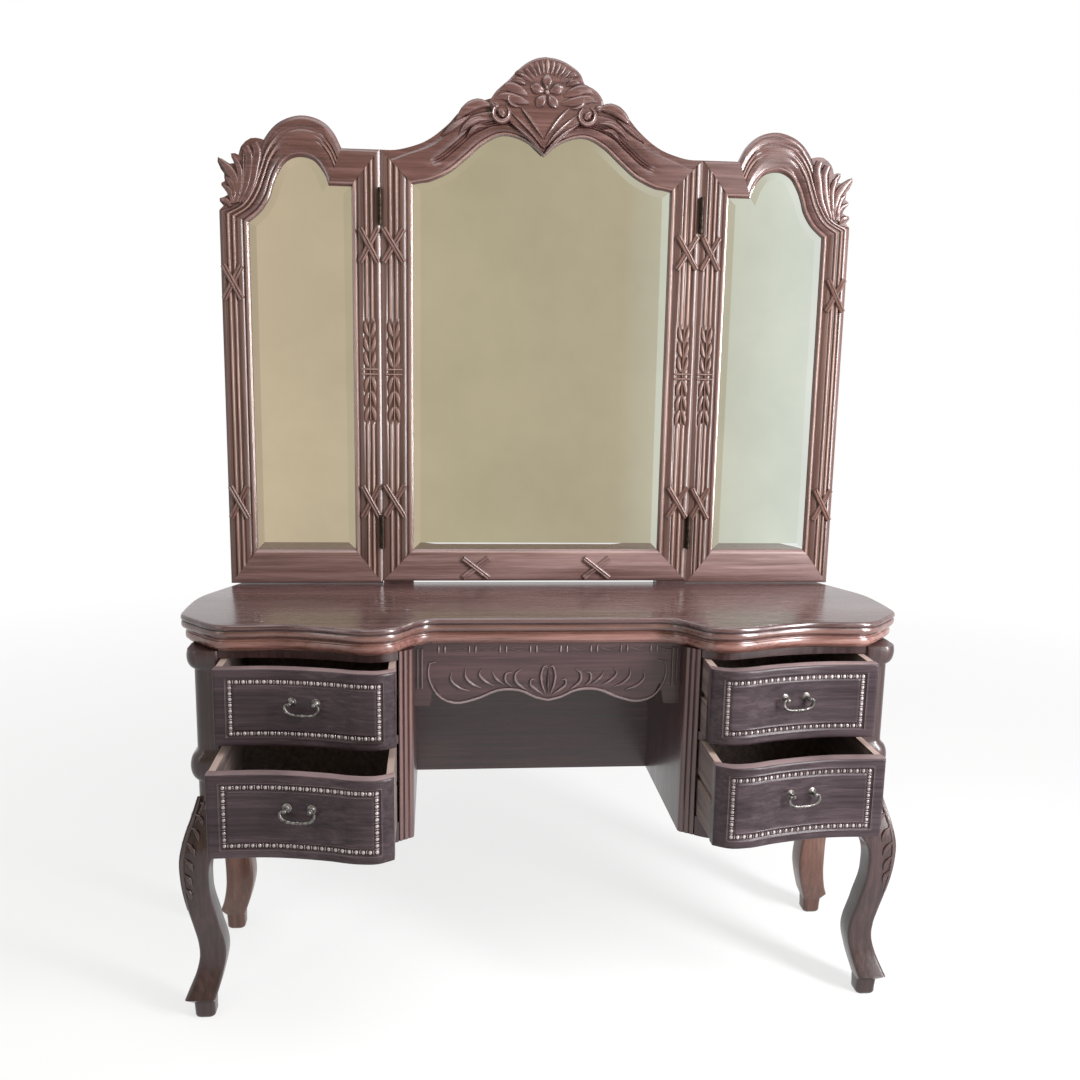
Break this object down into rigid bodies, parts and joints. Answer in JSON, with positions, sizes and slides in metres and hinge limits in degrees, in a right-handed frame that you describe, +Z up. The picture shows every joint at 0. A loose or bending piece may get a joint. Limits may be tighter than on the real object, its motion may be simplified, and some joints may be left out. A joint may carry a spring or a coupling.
{
  "type": "dressing table",
  "caption": "Kneehole dressing table on cabriole legs, with bowed drawer pedestals, bail pulls and a folding winged mirror in reeded and carved mahogany frames.",
  "frame": {"origin": "on the floor under the middle of the whole object's box, with the drawers part open as pictured", "axes": "+X to the right of someone who sits at the table, +Y to the back, +Z up"},
  "size_m": [1.382, 0.5746, 1.845],
  "materials": {
    "mahogany_top": "polished, satin gloss",
    "mahogany_case": "polished, satin gloss",
    "mahogany_drawer": "polished, satin gloss",
    "mahogany_frame": "polished, satin gloss, carved and reeded",
    "drawer_lining": "plain planed",
    "backboard": "plain planed",
    "back_softwood": "stained, matt",
    "mirror_glass": "bevelled, silvered",
    "antique_brass": "darkened with age",
    "hinge_brass": "aged",
    "screw_steel": "plain"
  },
  "bodies": {
    "desk": {"back_panels": "back_softwood", "centre_backboard": "backboard", "centre_bottom_rail": "mahogany_frame", "centre_crest": "mahogany_frame", "centre_left_stile": "mahogany_frame", "centre_mirror_glass": "mirror_glass", "centre_right_stile": "mahogany_frame", "centre_top_rail": "mahogany_frame", "drawer_runners": "drawer_lining", "front_left_leg": "mahogany_case", "front_right_leg": "mahogany_case", "hinge_fixed_leaves": "hinge_brass", "hinge_pins": "hinge_brass", "kneehole_apron": "mahogany_case", "left_front_rails": "mahogany_case", "left_inner_side": "mahogany_case", "left_mirror_post": "back_softwood", "left_outer_side": "mahogany_case", "mirror_foot_blocks": "mahogany_frame", "mirror_post_screws": "screw_steel", "pedestal_bottoms": "back_softwood", "rear_left_leg": "mahogany_case", "rear_right_leg": "mahogany_case", "right_front_rails": "mahogany_case", "right_inner_side": "mahogany_case", "right_mirror_post": "back_softwood", "right_outer_side": "mahogany_case", "table_top": "mahogany_top", "under_top_moulding": "mahogany_top"},
    "left_wing": {"left_hinge_leaves": "hinge_brass", "left_wing_backboard": "backboard", "left_wing_bottom_rail": "mahogany_frame", "left_wing_inner_stile": "mahogany_frame", "left_wing_mirror_glass": "mirror_glass", "left_wing_outer_stile": "mahogany_frame", "left_wing_top_rail": "mahogany_frame"},
    "right_wing": {"right_hinge_leaves": "hinge_brass", "right_wing_backboard": "backboard", "right_wing_bottom_rail": "mahogany_frame", "right_wing_inner_stile": "mahogany_frame", "right_wing_mirror_glass": "mirror_glass", "right_wing_outer_stile": "mahogany_frame", "right_wing_top_rail": "mahogany_frame"},
    "upper_left_drawer": {"upper_left_drawer_front": "mahogany_drawer", "upper_left_drawer_box": "drawer_lining", "upper_left_pull_posts": "antique_brass"},
    "upper_left_bail": {"upper_left_bail": "antique_brass"},
    "upper_right_drawer": {"upper_right_drawer_front": "mahogany_drawer", "upper_right_drawer_box": "drawer_lining", "upper_right_pull_posts": "antique_brass"},
    "upper_right_bail": {"upper_right_bail": "antique_brass"},
    "lower_left_drawer": {"lower_left_drawer_front": "mahogany_drawer", "lower_left_drawer_box": "drawer_lining", "lower_left_pull_posts": "antique_brass"},
    "lower_left_bail": {"lower_left_bail": "antique_brass"},
    "lower_right_drawer": {"lower_right_drawer_front": "mahogany_drawer", "lower_right_drawer_box": "drawer_lining", "lower_right_pull_posts": "antique_brass"},
    "lower_right_bail": {"lower_right_bail": "antique_brass"}
  },
  "joints": [
    {"name": "left_wing_hinge", "type": "hinge", "parent": "desk", "child": "left_wing", "pos_m": [-0.327, 0.23629, 1.2], "axis": [0, 0, 1], "range_deg": [0, 150]},
    {"name": "right_wing_hinge", "type": "hinge", "parent": "desk", "child": "right_wing", "pos_m": [0.327, 0.23629, 1.2], "axis": [0, 0, -1], "range_deg": [0, 150]},
    {"name": "upper_left_drawer_slide", "type": "slide", "parent": "desk", "child": "upper_left_drawer", "axis": [0, -1, 0], "range_m": [-0.07, 0.16]},
    {"name": "upper_left_bail_pivot", "type": "hinge", "parent": "upper_left_drawer", "child": "upper_left_bail", "pos_m": [-0.44979, -0.18248, 0.6525], "axis": [-0.982, 0.189, 0], "range_deg": [0, 90]},
    {"name": "upper_right_drawer_slide", "type": "slide", "parent": "desk", "child": "upper_right_drawer", "axis": [0, -1, 0], "range_m": [-0.07, 0.16]},
    {"name": "upper_right_bail_pivot", "type": "hinge", "parent": "upper_right_drawer", "child": "upper_right_bail", "pos_m": [0.44979, -0.18248, 0.6525], "axis": [-0.982, -0.189, 0], "range_deg": [0, 90]},
    {"name": "lower_left_drawer_slide", "type": "slide", "parent": "desk", "child": "lower_left_drawer", "axis": [0, -1, 0], "range_m": [-0.16, 0.07]},
    {"name": "lower_left_bail_pivot", "type": "hinge", "parent": "lower_left_drawer", "child": "lower_left_bail", "pos_m": [-0.44979, -0.27248, 0.492], "axis": [-0.982, 0.189, 0], "range_deg": [0, 90]},
    {"name": "lower_right_drawer_slide", "type": "slide", "parent": "desk", "child": "lower_right_drawer", "axis": [0, -1, 0], "range_m": [-0.132, 0.098]},
    {"name": "lower_right_bail_pivot", "type": "hinge", "parent": "lower_right_drawer", "child": "lower_right_bail", "pos_m": [0.44979, -0.24448, 0.492], "axis": [-0.982, -0.189, 0], "range_deg": [0, 90]}
  ]
}
